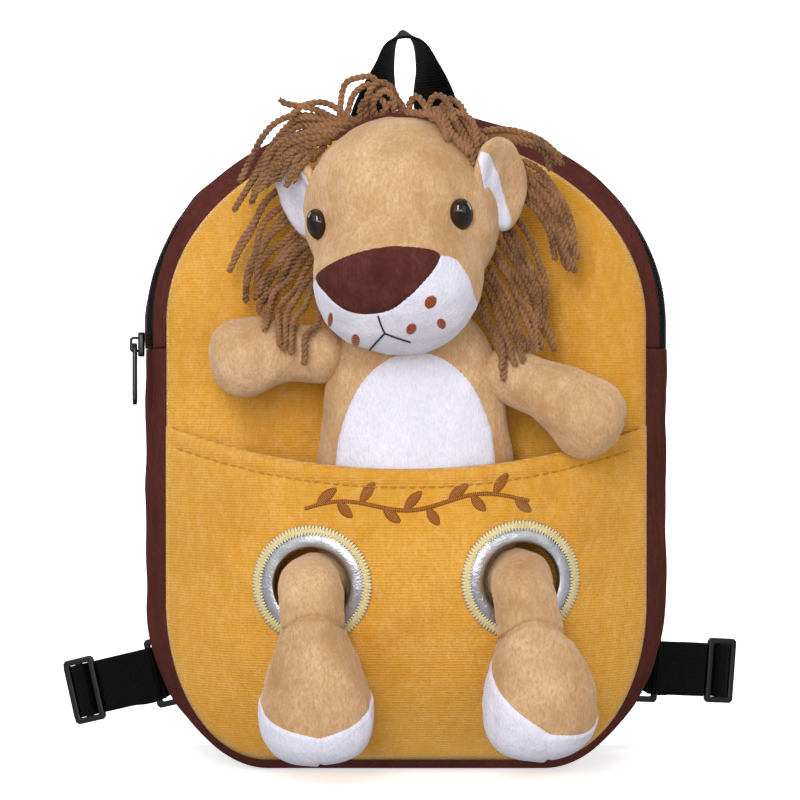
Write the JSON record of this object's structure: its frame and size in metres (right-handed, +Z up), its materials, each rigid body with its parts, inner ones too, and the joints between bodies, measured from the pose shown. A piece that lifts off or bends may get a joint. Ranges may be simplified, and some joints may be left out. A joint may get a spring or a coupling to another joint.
{
  "type": "toddler backpack with plush lion",
  "caption": "Small arched plush backpack with a plush lion seated in its front pocket, padded shoulder straps, a grab handle and a zip over the arch.",
  "frame": {"origin": "middle of the flat base that the bag stands on", "axes": "+Z up, the front with the pocket faces -Y, +X to the right as the front is seen"},
  "size_m": [0.3246, 0.2331, 0.3327],
  "materials": {
    "yellow_plush": "short velour pile, mustard yellow",
    "brown_plush": "short velour pile, dark red-brown",
    "tan_plush": "short velour pile, tan",
    "white_plush": "short velour pile, cool white",
    "nose_plush": "short velour pile, red-brown",
    "yarn": "twisted two-ply yarn",
    "leatherette": "silver coated cloth, satin",
    "black_webbing": "ribbed woven webbing",
    "zip_tape": "woven zip tape",
    "black_plastic": "moulded, fine texture",
    "zip_metal": "black lacquered zinc",
    "eye_plastic": "polished"
  },
  "bodies": {
    "bag": {"gusset_base": "brown_plush", "gusset_arch_front": "brown_plush", "gusset_arch_back": "brown_plush", "front_panel": "yellow_plush", "back_panel": "brown_plush", "pocket": "yellow_plush", "hole_ring_left": "leatherette", "hole_ring_right": "leatherette", "handle": "black_webbing", "zip_tape": "zip_tape", "zip_coil": "black_plastic", "zip_slider": "zip_metal", "lion_body": "tan_plush", "belly_patch": "white_plush", "lion_head": "tan_plush", "muzzle_patch": "white_plush", "nose_patch": "nose_plush", "mane": "yarn", "shoulder_pad_left": "brown_plush", "strap_anchor_left": "black_webbing", "strap_ring_left": "black_plastic", "strap_webbing_left": "black_webbing", "strap_slider_left": "black_plastic", "eye_left": "eye_plastic", "ear_left": "tan_plush", "ear_lining_left": "white_plush", "arm_left": "tan_plush", "leg_left": "tan_plush", "sole_left": "white_plush", "shoulder_pad_right": "brown_plush", "strap_anchor_right": "black_webbing", "strap_ring_right": "black_plastic", "strap_webbing_right": "black_webbing", "strap_slider_right": "black_plastic", "eye_right": "eye_plastic", "ear_right": "tan_plush", "ear_lining_right": "white_plush", "arm_right": "tan_plush", "leg_right": "tan_plush", "sole_right": "white_plush"},
    "zip_pull": {"zip_pull": "zip_metal"}
  },
  "joints": [
    {"name": "zip_pull_swing", "type": "hinge", "parent": "bag", "child": "zip_pull", "pos_m": [-0.12149, -0.013, 0.187], "axis": [0, 1, 0], "range_deg": [-4, 160]}
  ]
}
